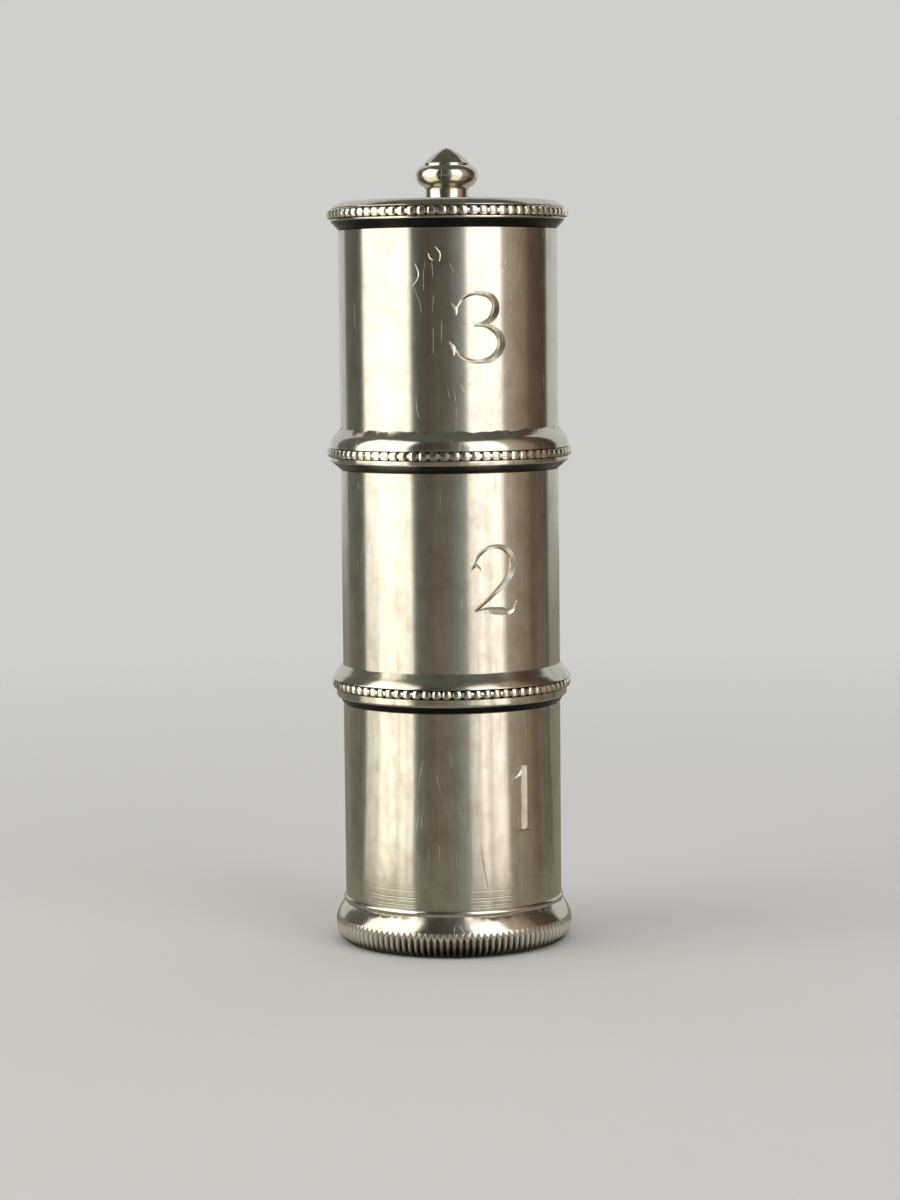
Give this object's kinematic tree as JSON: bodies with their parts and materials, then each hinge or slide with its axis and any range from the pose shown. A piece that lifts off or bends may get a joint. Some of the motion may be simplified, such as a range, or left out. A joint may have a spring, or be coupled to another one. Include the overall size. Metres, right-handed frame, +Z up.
{
  "type": "stacking screw-together container set",
  "caption": "Tall stack of small round screw-together containers with beaded rims, a knobbed lid and a reeded foot, each tier with an engraved numeral.",
  "frame": {"origin": "centre of the face the foot rests on", "axes": "+Z up along the common axis of the tubes, towards the knob; the engraved numerals face -Y"},
  "size_m": [0.0248, 0.0248, 0.08],
  "materials": {
    "outer_metal": "polished nickel silver, worn, fine lathe lines and scratches",
    "beaded_wire": "polished nickel silver beaded wire, dark tarnish in its recesses",
    "inner_metal": "turned nickel silver, dull and lightly tarnished",
    "seal": "matt black sealing ring"
  },
  "bodies": {
    "bottom_tier": {"bottom_tube": "outer_metal", "bottom_neck": "inner_metal", "bottom_floor": "inner_metal", "foot_ring": "outer_metal", "foot_lip_wire": "beaded_wire"},
    "middle_seal_ring": {"middle_seal": "seal"},
    "middle_tier": {"middle_tube": "outer_metal", "middle_neck": "inner_metal", "middle_floor": "inner_metal", "middle_socket": "inner_metal", "middle_base_moulding": "outer_metal", "middle_beaded_wire": "beaded_wire"},
    "top_seal_ring": {"top_seal": "seal"},
    "top_tier": {"top_tube": "outer_metal", "top_neck": "inner_metal", "top_floor": "inner_metal", "top_socket": "inner_metal", "top_base_moulding": "outer_metal", "top_beaded_wire": "beaded_wire"},
    "lid_seal_ring": {"lid_seal": "seal"},
    "lid": {"lid_plate": "outer_metal", "lid_rim_moulding": "outer_metal", "lid_beaded_wire": "beaded_wire", "lid_threaded_socket": "inner_metal", "lid_knob": "outer_metal", "lid_knob_rivet": "outer_metal"}
  },
  "joints": [
    {"name": "middle_rise", "type": "slide", "parent": "bottom_tier", "child": "middle_seal_ring", "axis": [0, 0, 1], "range_m": [0, 0.0021]},
    {"name": "middle_turn", "type": "hinge", "parent": "middle_seal_ring", "child": "middle_tier", "pos_m": [0, 0, 0.0244], "axis": [0, 0, 1], "range_deg": [0, 900]},
    {"name": "top_rise", "type": "slide", "parent": "middle_tier", "child": "top_seal_ring", "axis": [0, 0, 1], "range_m": [0, 0.0021]},
    {"name": "top_turn", "type": "hinge", "parent": "top_seal_ring", "child": "top_tier", "pos_m": [0, 0, 0.048], "axis": [0, 0, 1], "range_deg": [0, 900]},
    {"name": "lid_rise", "type": "slide", "parent": "top_tier", "child": "lid_seal_ring", "axis": [0, 0, 1], "range_m": [0, 0.0021]},
    {"name": "lid_turn", "type": "hinge", "parent": "lid_seal_ring", "child": "lid", "pos_m": [0, 0, 0.0719], "axis": [0, 0, 1], "range_deg": [0, 900]}
  ],
  "couplings": [
    {"joint": "middle_rise", "follows": "middle_turn", "m_per_rad": 0.00012732},
    {"joint": "top_rise", "follows": "top_turn", "m_per_rad": 0.00012732},
    {"joint": "lid_rise", "follows": "lid_turn", "m_per_rad": 0.00012732}
  ]
}
